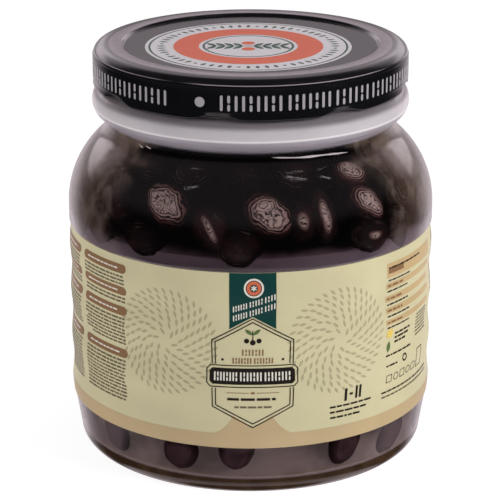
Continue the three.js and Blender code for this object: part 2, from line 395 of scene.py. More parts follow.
def clear_plastic():
    """Clear plastic with faint flow waves; milky in the bead of the neck, with painted shade and a painted
    highlight there; inside, a painted brownish back light where the wall turns away, and dark brown at the
    heel.
    """
    g = new_graph("clear_plastic")
    normal = g.bump(g.noise(45, 2, stretch=(1, 1, 0.35)), 0.35)
    clear = g.surface({
        "Base Color": linear(250, 249, 250),
        "Transmission Weight": 1.0,
        "IOR": 1.5,
        "Roughness": 0.02,
        "Normal": normal,
    })
    # Painted shade on the milky bead: darker at its foot for the dark contents bent into it, and darker at
    # its top for the black lid bent into it and the lid's shadow. A painted highlight runs as a thin bright
    # line just under its middle.
    height = g.height()
    bead_tone_with_painted_light = g.tones(90, 4, (198, 191, 196), (220, 214, 218))
    bead_tone_with_painted_light = g.mix(g.fade(height, BEAD_HEIGHT - 2.6, BEAD_HEIGHT - 0.8), bead_tone_with_painted_light, linear(166, 158, 168))
    bead_tone_with_painted_light = g.mix(g.ramp(height, BEAD_HEIGHT + 1.6, BEAD_HEIGHT + 3.6), bead_tone_with_painted_light, linear(132, 125, 130))
    # Painted highlight: a thin bright line along the bead.
    bead_highlight_offset = g.gap(height, BEAD_HEIGHT - 1.5)
    bead_tone_with_painted_light = g.mix(g.fade(bead_highlight_offset, 0.15, 0.6), bead_tone_with_painted_light, linear(240, 234, 236))
    milky = g.surface({
        "Base Color": bead_tone_with_painted_light,
        "Roughness": 0.28,
        "IOR": 1.5,
        "Subsurface Weight": 0.35,
        "Subsurface Radius": (0.004, 0.0035, 0.0038),
        "Normal": normal,
    })
    bead_foot = BEAD_HEIGHT - BEAD_HALF_HEIGHT
    haze = g.ramp(height, bead_foot - 1.6, bead_foot + 0.6, 0.0, 0.82)
    # Painted back light: a cloudy brownish film on the inside, mauve near the label's top, stands in for
    # light coming through the brine where the wall turns away from the eye; all round the heel it is dark
    # brown.
    cloud = g.noise(75, 4, Roughness=0.6, Distortion=0.8)
    lumps = g.ramp(cloud, 0.36, 0.64)
    backlight_colour = g.mix(lumps, linear(84, 67, 58), linear(132, 114, 105))
    backlight_colour = g.mix(g.fade(height, LABEL_TOP + 0.6, LABEL_TOP + 8.6), backlight_colour, linear(168, 150, 156))
    at_heel = g.fade(height, HEEL_RADIUS + 0.6, HEEL_RADIUS + 2.2)
    backlight_colour = g.mix(at_heel, backlight_colour, g.mix(lumps, linear(47, 33, 23), linear(64, 47, 34)))
    painted_backlight_film = g.surface({
        "Base Color": backlight_colour,
        "IOR": 1.5,
        "Roughness": 0.02,
        "Normal": normal,
    })
    # The painted back light is strongest where the wall turns away from the eye, and a little stronger high
    # on the shoulder.
    slant = g.add("LayerWeight", {"Blend": 0.5}).outputs["Facing"]
    slant = g.plus(slant, g.sway(cloud, 0.26))
    slant = g.plus(slant, g.ramp(height, 92.0, 114.0, 0.0, 0.08))
    amount = g.times(g.ramp(slant, 0.34, 0.52, 0.0, 0.58), g.ramp(height, 80.0, 104.0, 0.3, 1.0))
    amount = g.math("MAXIMUM", amount, g.times(at_heel, 0.95))
    clear = g.blend(amount, clear, painted_backlight_film)
    return g.finish(g.blend(haze, g.clear_to_shadows(clear), milky))


def brine_liquid():
    """Dark purplish-brown brine that lets less light back the deeper it comes from."""
    g = new_graph("brine_liquid")
    body = g.surface({
        "Base Color": (1, 1, 1, 1),
        "Transmission Weight": 1.0,
        "IOR": 1.34,
        "Roughness": 0.0,
    })
    depth = g.add("VolumeAbsorption", {"Color": (0.35, 0.24, 0.21, 1), "Density": 300.0}).outputs[0]
    return g.finish(g.clear_to_shadows(body), depth)


def air_glint():
    """Pale froth, coloured as a painted glint where the brine's edge catches light."""
    g = new_graph("air_glint")
    return g.finish(g.surface({
        "Base Color": g.tones(1500, 2, (214, 206, 210), (244, 238, 242)),
        "Roughness": 0.25,
        "IOR": 1.34,
    }))


def olive_skin(name, dark, red, marks=1.0):
    """Near-black skin, with a painted sheen where an olive presses on the wall: pale with a maze of dark
    creases, and rings round it.
    """
    g = new_graph(name)
    patches = g.ramp(g.noise(160, 4, Distortion=0.6), 0.38, 0.66)
    # Distance from the middle of the pressed face: 1 at its edge
    touch = g.add("Attribute", attribute_name="touch").outputs["Fac"]
    touch = g.plus(touch, g.sway(g.noise(230, 2), 0.75))
    maze = g.noise(330, 1.0, Roughness=0.4, Distortion=1.6)
    # Painted sheen: the pressed face pale between a maze of dark creases, and pale rings round it.
    pale = g.times(g.fade(touch, 0.56, 0.74), g.ramp(g.gap(maze, 0.5), 0.016, 0.07))
    sheen_rings = g.times(g.ramp(touch, 0.5, 0.66), g.fade(touch, 1.05, 1.5))
    sheen_rings = g.times(sheen_rings, g.ramp(g.math("SINE", g.times(touch, 26.0)), -0.3, 0.5))
    # Painted glints: faint pale arcs here and there on the olives that stay off the wall
    glint_arcs = g.times(g.ramp(touch, 2.9, 3.3), g.fade(touch, 3.8, 4.6))
    glint_arcs = g.times(glint_arcs, g.ramp(g.noise(110, 1), 0.56, 0.64))
    glint_arcs = g.times(glint_arcs, g.ramp(g.math("SINE", g.times(touch, 15.0)), 0.55, 0.95))
    skin = g.mix(patches, linear(*dark), linear(*red))
    # marks sets the strength of the painted glint arcs.
    skin = g.mix(g.times(glint_arcs, marks), skin, linear(116, 102, 104))
    sheen_ring_tone = g.mix(g.ramp(touch, 0.8, 1.2), linear(158, 132, 128), linear(98, 62, 62))
    skin = g.mix(sheen_rings, skin, sheen_ring_tone)
    skin = g.mix(pale, skin, linear(172, 150, 145))
    creases = g.noise(900, 3, Roughness=0.6, Distortion=1.2)
    creases = g.ramp(g.gap(creases, 0.5), 0.0, 0.16)
    relief = g.plus(g.times(creases, 0.35), g.math("MAXIMUM", pale, sheen_rings))
    return g.finish(g.surface({
        "Base Color": skin,
        "Roughness": g.ramp(patches, 0.0, 1.0, 0.12, 0.22),
        "IOR": 1.45,
        "Specular IOR Level": 0.5,
        "Normal": g.bump(relief, 0.14, 0.6),
    }))


def heap_core():
    """What shows between the olives: cloudy brine low down and browner at the foot, painted light in a pale
    band just over the label, else darkness.
    """
    g = new_graph("heap_core")
    height = g.height()
    cloud = g.mix(g.ramp(g.noise(60, 3), 0.34, 0.66), linear(182, 180, 186), linear(250, 247, 252))
    brown_foot = g.tones(120, 4, (170, 150, 126), (212, 190, 162))
    # Painted light: the pale mauve band just over the label stands in for light reflected from the label's
    # back through the cloudy brine.
    label_glow = g.tones(90, 3, (160, 150, 174), (190, 180, 202))
    low = g.mix(g.ramp(height, 5.0, 9.0), brown_foot, cloud)
    low = g.mix(g.ramp(height, 40.0, 60.0), low, label_glow)
    waves = g.sway(g.noise(55, 2), 6.0)
    over_label = g.ramp(g.plus(height, waves), LABEL_TOP + 3.6, LABEL_TOP + 6.6)
    return g.finish(g.surface({
        "Base Color": g.mix(over_label, low, linear(24, 17, 19)),
        "Roughness": 0.7,
        "Specular IOR Level": 0.1,
    }))


def lacquer():
    """Glossy black lacquer over pressed steel, with faint orange peel, a painted pale sheen on the rim's top
    and a painted highlight along its turn into the skirt.
    """
    g = new_graph("black_lacquer")
    soft = g.noise(35, 4)
    black = g.mix(soft, linear(9, 10, 12), linear(17, 17, 19))
    pale = g.tones(160, 4, (146, 134, 142), (176, 164, 172))
    radius = g.radius()
    height = g.height()
    # Painted sheen: the rim's flat top is coloured pale.
    rim = g.ramp(radius, RIM_INNER - 0.1, RIM_INNER + 0.4)
    rim = g.times(rim, g.fade(radius, RIM_SHEEN_END - 0.8, RIM_SHEEN_END + 0.4))
    rim = g.times(rim, g.ramp(height, TOTAL_HEIGHT - 0.9, TOTAL_HEIGHT - 0.5))
    # Painted highlight: a thin bright line here and there along the turn into the skirt.
    painted_edge_highlight = g.ramp(g.gap(height, TOTAL_HEIGHT - 2.1), 0.05, 0.22, 0.9, 0.0)
    painted_edge_highlight = g.times(painted_edge_highlight, g.ramp(g.noise(24, 1), 0.44, 0.56))
    painted_edge_highlight = g.times(painted_edge_highlight, g.ramp(radius, RIM_OUTER + 2, RIM_OUTER + 3))
    return g.finish(g.surface({
        "Base Color": g.mix(g.math("MAXIMUM", rim, painted_edge_highlight), black, pale),
        "Roughness": g.ramp(soft, 0.3, 0.7, 0.13, 0.2),
        "IOR": 1.5,
        "Normal": g.bump(g.noise(900, 2), 0.012, 0.6),
    }))


def film(name, colour, roughness=0.42, tint=0.05, gloss=0.5):
    """Printed film: a colour with a little unevenness of print, under a satin gloss."""
    g = new_graph(name)
    grain = g.noise(2600, 2)
    darker, lighter = [
        (*(min(channel * k, 1) for channel in linear(*colour)[:3]), 1)
        for k in (1 - tint, 1 + tint)
    ]
    return g.finish(g.surface({
        "Base Color": g.mix(g.ramp(g.noise(55, 5), 0.3, 0.7), darker, lighter),
        "Roughness": g.ramp(grain, 0.3, 0.7, roughness - 0.05, roughness + 0.05),
        "IOR": 1.45,
        "Specular IOR Level": gloss,
        "Normal": g.bump(grain, 0.01, 0.5),
    }))


def make_jar():
    bead_centre = (NECK_RADIUS - 0.4, BEAD_HEIGHT)
    outside = base(0) + heel(0, 12)[1:] + lower_body(0, 10) + panel(0, 96)
    outside += [(BODY_RADIUS - 0.3, LABEL_TOP + 0.5), (BODY_RADIUS, LABEL_TOP + 1)]
    outside += shoulder(0, 28) + neck_blend(0, 12)[1:]
    outside += arc(bead_centre, BEAD_RADIUS - bead_centre[0], -1.4, 1.4, 28, BEAD_HALF_HEIGHT)
    outside += arc((NECK_RADIUS - LIP, JAR_TOP - LIP), LIP, 0, math.pi / 2, 4)
    inside = [(MOUTH_RADIUS + 0.3, JAR_TOP), (MOUTH_RADIUS, JAR_TOP - LIP)]
    inside += [(MOUTH_RADIUS, BEAD_HEIGHT - BEAD_HALF_HEIGHT)]
    inside += INSIDE[::-1] + base(WALL)[::-1]
    verts, faces = revolve(outside + inside, JAR_SEGMENTS)
    add_piece("jar_wall", verts, faces, clear_plastic(), ["jar"])


def make_brine():
    """The liquid, which reaches a little into the wall so that no air shows between them."""
    side = [p for p in inner_profile(WALL - BRINE_BITE) if p[1] < BRINE_TOP - 1]
    rim = side[-1][0]
    bottom = [(r, z - BRINE_BITE) for r, z in base(WALL)]
    meniscus = [(rim, BRINE_TOP + 0.6), (rim - 0.9, BRINE_TOP + 0.1), (rim - 2.5, BRINE_TOP), (0, BRINE_TOP)]
    verts, faces = revolve(bottom + side + meniscus, JAR_SEGMENTS)
    add_piece("brine", verts, faces, brine_liquid(), ["olives"])


# Lines of trapped air under the neck, coloured pale as painted glints: azimuths and heights of both ends,
# thickness
AIR_LINES = [
    (8.0, 40.5, 119.5, 118.1, 0.5),
    (-49.0, -46.2, 119.4, 118.6, 0.5),
    (-44.8, -42.0, 119.7, 119.1, 0.45),
]
AIR_SIDES = 8


def air_line(start, end, low, high, thickness):
    """A thin flat bubble along the wall, which tapers to both ends."""
    steps = max(6, round(abs(end - start)))
    loops = []
    for i in range(steps + 1):
        t = i / steps
        azimuth = math.radians(start + (end - start) * t)
        height = low + (high - low) * t + 0.12 * math.sin(9 * t + start)
        size = thickness * (0.08 + 0.92 * math.sin(math.pi * t) ** 0.5 * (0.75 + 0.25 * math.sin(17 * t)))
        middle = (inside_radius(height) - 0.3, height)
        section = arc(middle, 0.5 * size, 0, 2 * math.pi, AIR_SIDES, size)[:-1]
        loops.append([around(azimuth, reach, level) for reach, level in section])
    return sweep(loops)


def make_air():
    verts, faces = join(air_line(*line) for line in AIR_LINES)
    # Painted glints: the trapped air is coloured pale.
    add_piece("air_glint_lines", verts, faces, air_glint())


def make_core():
    """The middle of the heap, which nobody sees between the olives but as cloud or darkness."""
    profile = [
        (0, PUSH_UP + WALL + 0.8),
        (STANDING_RADIUS - STANDING_WIDTH - 6, PUSH_UP + WALL + 0.3),
        (STANDING_RADIUS - 2, WALL + 0.9),
    ]
    # The side: height, and how far it stays off the wall
    side = [(4.6, 2.09), (9, 3.2), (19, 3.4), (23, 1.2), (80, 1.2), (84, 2.4), (87.5, 3)]
    side += [(91, 7.98), (100, 9), (110, 10), (116, 13.79)]
    profile += [(inside_radius(height) - gap, height) for height, gap in side]
    verts, faces = revolve(profile + [(0, 118)], 128)
    add_piece("heap_core", verts, faces, heap_core(), ["olives"])


# Olives that press on the wall of the shoulder and show their wrinkles: azimuth from the front, height where
# they touch the wall, length, width, roll in degrees, how far they are pressed flat, half angle of that face
# along the olive, and how slim it is across
FEATURED = [
    (-28.6, 104.6, 20.0, 15.5, 28, 1.2, 0.9, 0.78),
    (6.0, 102.8, 19.5, 15.0, 30, 1.2, 0.92, 0.8),
    (16.6, 100.0, 14.0, 11.0, 80, 0.2, 0.4, 0.8),
    (23.9, 101.2, 19.0, 10.5, 82, 0.5, 0.62, 0.5),
    (41.0, 102.8, 19.5, 15.0, 42, 0.7, 0.72, 0.6),
    (38.6, 112.2, 17.0, 13.5, 24, 0.9, 0.62, 0.8),
    (-12.6, 97.6, 17.0, 13.5, 60, 0.3, 0.56, 0.3),
    (-4.5, 91.4, 18.0, 15.0, 10, 0.2, 0.0, 1.0),
    (-48.5, 101.0, 18.0, 15.0, 20, 0.2, 0.0, 1.0),
    (41.5, 91.4, 19.0, 14.0, 8, 0.4, 0.3, 0.6),
]
# How far another olive stays from a featured one, where a turn counts at the shoulder's mean radius
CLEARANCE = 11
SHOULDER_MEAN = 60
# Rings of the rest: height and count. They stay between LOWEST and HIGHEST, and one of PRESSES says how far
# each is pressed flat, or how far it stays off the wall if it is under 0.
ROWS = [(91.0, 21), (99.0, 20), (107.5, 19), (115.5, 16)]
LOWEST = 90
HIGHEST = 117
PRESSES = (0.1, -0.8, -1.4, -2.0, -2.6)
# Rounds that hang into the clear strip under the label: azimuth in degrees and height of those at the front,
# then the step and the height of the ones behind them
LOW_FRONT = [(-50.2, 15.6), (-23.6, 15.9), (-4.6, 18.7), (32.3, 16.8), (53.7, 14.4)]
LOW_SPACING = 21.2
LOW_HEIGHT = 16.4


def wall_normal(azimuth, height):
    """Direction out of the wall: level on the body, tilted up on the shoulder."""
    rise = min(max((height - SHOULDER_START) / SHOULDER_ARC, 0), math.sin(SHOULDER_ANGLE))
    return Vector(around(azimuth, math.sqrt(1 - rise * rise), rise))


@dataclass
class Olive:
    """One olive against the wall: where it touches, its size, its roll and how it is pressed."""

    azimuth: float
    height: float
    length: float
    width: float
    roll: float
    press: float
    face: float = 0.0
    slim: float = 1.0
    fixed: bool = False

    def centre(self):
        contact = Vector(around(self.azimuth, inside_radius(self.height), self.height))
        return contact - wall_normal(self.azimuth, self.height) * (self.width / 2 - self.press)

    def reach(self):
        return (self.length + self.width) / 4

    def turn_from(self, other):
        return math.remainder(self.azimuth - other.azimuth, 2 * math.pi)

    def touch(self, polar, turn):
        """Distance from the middle of the pressed face, 1 at its edge; over 2 on an olive off the wall."""
        if not self.face:
            return 2 + polar / 0.5
        return polar / self.face * math.hypot(math.cos(turn), math.sin(turn) / self.slim)


def spread(olives, rounds):
    """Pushes olives that overlap apart along the wall."""
    for _ in range(rounds):
        for i, a in enumerate(olives):
            for b in olives[:i]:
                across = a.turn_from(b)
                if abs(across) > 0.6:
                    continue
                gap = a.centre() - b.centre()
                overlap = (a.reach() + b.reach()) * 0.94 - gap.length
                if overlap <= 0:
                    continue
                share = 0.25 * overlap / max(gap.length, 0.1)
                lift = (a.height - b.height) * share
                for olive, sign in ((a, 1), (b, -1)):
                    if not olive.fixed:
                        olive.azimuth += sign * across * share
                        olive.height = min(max(olive.height + sign * lift, LOWEST), HIGHEST)


def wrinkles(local, seed, polar):
    """Depth of the skin's creases, in millimetres: a maze at the pole, rings round it."""
    bend = noise.noise(local * 2.2 + seed) * 1.6
    maze = 1 - min(abs(noise.noise(local * 4.6 + seed + Vector((9, 4, 7)))) * 3.2, 1)
    rings = 0.5 + 0.5 * math.cos(polar * 17 + bend * 3)
    edge = smooth_step(0.35, 0.8, polar) * (1 - smooth_step(1.5, 2.0, polar))
    return 0.34 * maze * maze * (1 - 0.6 * edge) + 0.30 * rings * rings * edge


def olive_mesh(olive, rng, segments, rings, wrinkle):
    """Rings round a pole that faces the wall, creased by noise and flattened where they press on the wall."""
    out = wall_normal(olive.azimuth, olive.height)
    side = out.cross(Vector((0, 0, 1))).normalized()
    up = side.cross(out)
    long_axis = side * math.cos(olive.roll) + up * math.sin(olive.roll)
    cross_axis = out.cross(long_axis)
    centre = olive.centre()
    seed = Vector((rng.uniform(-50, 50), rng.uniform(-50, 50), rng.uniform(-50, 50)))
    depth = olive.width * rng.uniform(0.92, 1.02)
    taper = rng.uniform(-0.1, 0.1)
    verts = []
    touch = []
    numbers = []
    for ring in range(rings + 1):
        # Rings lie closer together on the side that shows.
        t = ring / rings
        polar = math.pi * t * (0.62 + 0.38 * t * t)
        at_pole = ring in (0, rings)
        numbers.append([len(verts)] * segments if at_pole else range(len(verts), len(verts) + segments))
        for i in range(1 if at_pole else segments):
            turn = 2 * math.pi * i / segments
            along = math.sin(polar) * math.cos(turn)
            across = math.sin(polar) * math.sin(turn)
            local = Vector((along, across, math.cos(polar)))
            radial = 1 + taper * along
            point = (
                long_axis * (along * olive.length / 2)
                + cross_axis * (across * olive.width / 2 * radial)
                + out * (local.z * depth / 2 * radial)
            ) * (1 + 0.07 * noise.noise(local * 1.3 + seed))
            place = centre + point
            limit = inside_radius(place.z) - 0.12
            if place.xy.length > limit:
                place.xy = place.xy * (limit / place.xy.length)
            verts.append(place - point.normalized() * wrinkles(local, seed, polar) * wrinkle)
            touch.append(olive.touch(polar, turn))
    return verts, touch, bridge(numbers[::-1])


def add_olives(name, olives, rng, segments, rings, wrinkle, material):
    meshes = [olive_mesh(olive, rng, segments, rings, wrinkle) for olive in olives]
    verts, faces = join((more, cells) for more, _, cells in meshes)
    piece = add_piece(name, verts, faces, material, ["olives"], math.radians(70))
    touch = [value for _, values, _ in meshes for value in values]
    piece.data.attributes.new("touch", "FLOAT", "POINT").data.foreach_set("value", touch)


def make_olives():
    rng = random.Random(SEED)
    upper = []
    for azimuth, height, length, width, roll, *pressed in FEATURED:
        olive = Olive(math.radians(azimuth), height, length, width, math.radians(roll), *pressed, fixed=True)
        upper.append(olive)
    for row, (height, count) in enumerate(ROWS):
        for i in range(count):
            olive = Olive(
                2 * math.pi * (i + 0.5 * (row % 2) + rng.uniform(-0.2, 0.2)) / count,
                height + rng.uniform(-2, 2),
                OLIVE_LENGTH * rng.uniform(0.88, 1.08),
                OLIVE_WIDTH * rng.uniform(0.86, 1.08),
                rng.uniform(-math.pi / 2, math.pi / 2),
                rng.choice(PRESSES),
            )
            # A few press on the wall too, though none well to the left.
            if math.sin(olive.azimuth) > -0.3 and rng.random() < 0.12:
                olive.press = 0.9
                olive.face = rng.uniform(0.4, 0.75)
            near = any(
                math.hypot(olive.turn_from(other) * SHOULDER_MEAN, olive.height - other.height) < CLEARANCE
                for other in upper[:len(FEATURED)]
            )
            if not near:
                upper.append(olive)
    spread(upper, 30)
    skin = olive_skin("olive_skin", (26, 17, 19), (44, 24, 25))
    add_olives("olives_wrinkled", upper, rng, 52, 24, 1.0, skin)

    places = list(LOW_FRONT)
    while places[-1][0] < 360 + LOW_FRONT[0][0] - 1.5 * LOW_SPACING:
        places.append((places[-1][0] + LOW_SPACING * rng.uniform(0.86, 1.14), LOW_HEIGHT))
    lower = []
    for azimuth, height in places:
        lower.append(Olive(
            math.radians(azimuth),
            height + rng.uniform(-1.0, 1.4),
            LOW_LENGTH * rng.uniform(0.92, 1.08),
            LOW_WIDTH * rng.uniform(0.94, 1.06),
            math.pi / 2 + rng.uniform(-0.5, 0.5),
            1.2,
        ))
    skin = olive_skin("olive_skin_low", (46, 26, 31), (62, 38, 43), 0.15)
    add_olives("olives_low", lower, rng, 40, 20, 0.25, skin)


def lug_shape(azimuth):
    """The arched crease over a lug: 1 in its middle, 0 at its ends and between lugs."""
    turn = math.remainder(azimuth - FIRST_LUG, 2 * math.pi / LUGS)
    along = turn * LID_RADIUS / LUG_WIDTH
    return math.cos(math.pi * along) if abs(along) < 0.5 else 0


def lid_profile():
    """From the axis under the panel, out along the inside, round the hem and back over the top."""
    top = TOTAL_HEIGHT - PANEL_DEPTH
    rounding = (RIM_OUTER, TOTAL_HEIGHT - RIM_DROP)
    reach = LID_RADIUS - SKIRT_STEP - RIM_OUTER
    curl = 0.85 * HEM_HEIGHT / 2
    skirt_foot = LID_BOTTOM + HEM_HEIGHT + 0.8
    inside = [(0, top - LID_SHEET), (PANEL_RADIUS + LID_SHEET, top - LID_SHEET)]
    inside += [(RIM_INNER + LID_SHEET, TOTAL_HEIGHT - LID_SHEET)]
    inside += arc(rounding, reach - LID_SHEET, math.pi / 2, 0, 8, RIM_DROP - LID_SHEET)
    inside += [(LID_RADIUS - LID_SHEET, skirt_foot), (LID_RADIUS - curl - 0.4, LID_BOTTOM + 2 * curl)]
    outside = arc((LID_RADIUS - curl, LID_BOTTOM + curl), curl, -math.pi, 0, 12)
    outside += [(LID_RADIUS - 0.12, LID_BOTTOM + 2 * curl - 0.3), (LID_RADIUS - 0.15, skirt_foot - 0.4)]
    outside += [(LID_RADIUS, skirt_foot + 0.4 * i) for i in range(4)]
    outside += [(LID_RADIUS, rounding[1] - SKIRT_STEP - 0.15), (LID_RADIUS - 0.1, rounding[1] - SKIRT_STEP)]
    outside += arc(rounding, reach, 0, math.radians(62), 16, RIM_DROP)
    # The rim's top: radius, and depth under the lid's highest point
    rim = [(RIM_OUTER + 0.6, 0.2), (RIM_OUTER - 0.6, 0.08), (RIM_OUTER - 2.5, 0.01), (RIM_INNER + 0.5, 0)]
    rim += [(RIM_INNER + 0.2, 0.04), (RIM_INNER, 0.18)]
    outside += [(radius, TOTAL_HEIGHT - drop) for radius, drop in rim]
    outside += [(PANEL_RADIUS + 0.12, top + 0.2), (PANEL_RADIUS, top + 0.05)]
    outside += [(PANEL_RADIUS - 0.25, top), (PANEL_RADIUS - 1, top), (0, top)]
    return inside + outside


def make_lid():
    verts, faces = revolve(lid_profile(), LID_SEGMENTS)
    bent = []
    for x, y, z in verts:
        under = lug_shape(math.atan2(y, x)) - (z - LID_BOTTOM) / LUG_HEIGHT
        if under > 0:
            scale = 1 - LUG_DEPTH * under / math.hypot(x, y)
            x, y, z = x * scale, y * scale, z + LUG_RISE * under
        bent.append((x, y, z))
    add_piece("lid_shell", bent, faces, lacquer(), ["lid"], math.radians(50))


def make_label():
    """The film goes once round; its end laps over its start behind the jar."""
    heights = label_heights(96)
    segments = 240
    loops = []
    for j in range(segments + 1):
        turn = j / segments
        azimuth = math.pi + (2 * math.pi + FILM_LAP) * turn
        under = FILM * (1 - smooth_step(0.0, 0.03, turn))
        outer = [around(azimuth, label_radius(z) - under, z) for z in heights]
        inner = [around(azimuth, label_radius(z) - under - FILM, z) for z in heights[::-1]]
        loops.append(outer + inner)
    verts, faces = sweep(loops)
    material = film("label_film", (206, 197, 158), 0.42, 0.03)
    add_piece("label_film", verts, faces, material, ["label"])


# Shapes of ink are polygons of (across, up) points, anticlockwise. Across is how far
# a point lies round the surface, to the right of the front.


def slab(left, bottom, right, top, slope=0.0):
    """A box whose ends stay upright while its length climbs to the right."""
    lift = slope * (right - left)
    return [(left, bottom), (right, bottom + lift), (right, top + lift), (left, top)]


def pill(left, bottom, right, top, steps=6):
    """A bar with round ends, lying or standing."""
    radius = min(right - left, top - bottom) / 2
    low = (left + radius, bottom + radius)
    high = (right - radius, top - radius)
    corners = [(high[0], low[1], -90), (high[0], high[1], 0), (low[0], high[1], 90), (low[0], low[1], 180)]
    points = []
    for x, y, start in corners:
        points += arc((x, y), radius, math.radians(start), math.radians(start + 90), steps)
    return points


def disc(x, y, radius, steps=24):
    return arc((x, y), radius, 0, 2 * math.pi, steps)[:-1]


def ring(x, y, outer, inner, steps=48):
    """A ring as one four-sided piece for each step."""
    a = arc((x, y), outer, 0, 2 * math.pi, steps)
    b = arc((x, y), inner, 0, 2 * math.pi, steps)
    return [[b[i], a[i], a[i + 1], b[i + 1]] for i in range(steps)]


def leaf(x, y, length, width, angle, steps=5):
    """A pointed oval that starts at a point and lies at an angle."""
    spine = [i / steps for i in range(steps + 1)]
    edge = [(length * t, width / 2 * math.sin(math.pi * t)) for t in spine]
    outline = [(u, -v) for u, v in edge] + [(u, v) for u, v in edge[-2:0:-1]]
    cos, sin = math.cos(angle), math.sin(angle)
    return [(x + u * cos - v * sin, y + u * sin + v * cos) for u, v in outline]


def stroke(points, width, closed=False):
    """A line of even width along points, with mitred corners."""
    count = len(points)
    sides = ([], [])
    for i in range(count):
        before = points[i - 1] if closed or i else points[i]
        after = points[(i + 1) % count] if closed or i < count - 1 else points[i]
        directions = []
        for a, b in ((before, points[i]), (points[i], after)):
            length = math.hypot(b[0] - a[0], b[1] - a[1])
            if length:
                directions.append(((b[0] - a[0]) / length, (b[1] - a[1]) / length))
        normals = [(-d[1], d[0]) for d in directions]
        x = sum(n[0] for n in normals)
        y = sum(n[1] for n in normals)
        size = x * x + y * y
        scale = width / 2 * len(normals) / size
        sides[0].append((points[i][0] + x * scale, points[i][1] + y * scale))
        sides[1].append((points[i][0] - x * scale, points[i][1] - y * scale))
    last = count if closed else count - 1
    left, right = sides
    return [[right[i], right[(i + 1) % count], left[(i + 1) % count], left[i]] for i in range(last)]


def tally(left, bottom, right, height, stem, pitch, slope=0.0):
    """Upright bars in a row, every third one split, where the real pack has a word."""
    bars = []
    count = max(1, round((right - left - stem) / pitch))
    pitch = (right - left - stem) / count
    for i in range(count + 1):
        x = left + i * pitch
        y = bottom + slope * (x - left)
        if i % 3 == 1:
            middle = height * 0.42
            bars.append(pill(x, y, x + stem, y + middle, 3))
            bars.append(pill(x, y + middle + stem * 0.5, x + stem, y + height, 3))
        else:
            bars.append(pill(x, y, x + stem, y + height, 3))
    return bars


def fine_print(rng, left, right, bottom, size, slope=0.0):
    """Small bars of uneven length on one line."""
    bars = []
    x = left
    while x < right - size:
        end = min(x + rng.uniform(1.6, 5.5) * size, right)
        bars.append(slab(x, bottom + slope * (x - left), end, bottom + size + slope * (x - left), slope))
        x = end + size * 0.7
    return bars


def rosette(x, y, rings, spacing, length, width):
    """Petals on widening circles, each circle turned by half a step."""
    petals = []
    for k in range(1, rings + 1):
        radius = k * spacing
        count = round(2 * math.pi * radius / (length * 0.95))
        for i in range(count):
            angle = 2 * math.pi * (i + 0.5 * (k % 2)) / count
            px = x + radius * math.cos(angle)
            py = y + radius * math.sin(angle)
            petals.append(leaf(px, py, length, width, angle + 0.7))
    return petals


# Middle of the badge in the lid's panel
BADGE_MIDDLE = (-0.8, -3.2)


def on_label(across, up, lift):
    return around(across / LABEL_RADIUS, label_radius(up) + lift, up)


def on_skirt(across, up, lift):
    return around(across / LID_RADIUS, LID_RADIUS + lift, up)


def on_panel(across, up, lift):
    return (across + BADGE_MIDDLE[0], up + BADGE_MIDDLE[1], TOTAL_HEIGHT - PANEL_DEPTH + lift)


def add_print(name, polygons, place, layer, material, step=2.0):
    """Polygons of ink, cut every few millimetres so that they follow the surface under them."""
    lift = INK_LIFT + INK_LAYER * layer
    ink = bmesh.new()
    for polygon in polygons:
        ink.faces.new([ink.verts.new((x, y, 0)) for x, y in polygon])
    bmesh.ops.triangulate(ink, faces=ink.faces[:])
    for axis in (0, 1):
        low = min(v.co[axis] for v in ink.verts)
        high = max(v.co[axis] for v in ink.verts)
        normal = Vector((1, 0, 0)) if axis == 0 else Vector((0, 1, 0))
        for k in range(math.ceil(low / step), math.floor(high / step) + 1):
            near = [f for f in ink.faces if crosses(f, axis, k * step)]
            parts = list({e for f in near for e in (*f.verts, *f.edges)}) + near
            bmesh.ops.bisect_plane(ink, geom=parts, plane_co=normal * (k * step), plane_no=normal)
    verts = [place(v.co.x, v.co.y, lift) for v in ink.verts]
    ink.verts.index_update()
    faces = [[v.index for v in f.verts] for f in ink.faces]
    ink.free()
    add_piece(name, verts, faces, material)


def crosses(face, axis, value):
    places = [v.co[axis] for v in face.verts]
    return min(places) < value - 1e-5 and max(places) > value + 1e-5


# Middle of the printed front and its frame, on the label
FRONT = 0.75
FRAME_HALF = 14.0
FRAME_TOP = 67.0
FRAME_UPPER = 59.2
FRAME_LOWER = 34.6
FRAME_FOOT = 27.3
PLAQUE = (-15.1, 42.2, 16.3, 49.9)
RIBBON_HALF = 8.0
BAND_TOP = 24.9


def frame_line(inset, low, high):
    """The frame's six-sided outline over or under the plaque."""
    half = FRAME_HALF - inset
    drop = inset * 1.1
    if high is None:
        points = [(-half, low), (-half, FRAME_UPPER - drop / 2), (0, FRAME_TOP - drop)]
        points += [(half, FRAME_UPPER - drop / 2), (half, low)]
    else:
        points = [(-half, high), (-half, FRAME_LOWER + drop / 2), (0, FRAME_FOOT + drop)]
        points += [(half, FRAME_LOWER + drop / 2), (half, high)]
    return [(FRONT + x, y) for x, y in points]


def chamfered(left, bottom, right, top, cut):
    return [
        (left + cut, bottom), (right - cut, bottom), (right, bottom + cut), (right, top - cut),
        (right - cut, top), (left + cut, top), (left, top - cut), (left, bottom + cut),
    ]


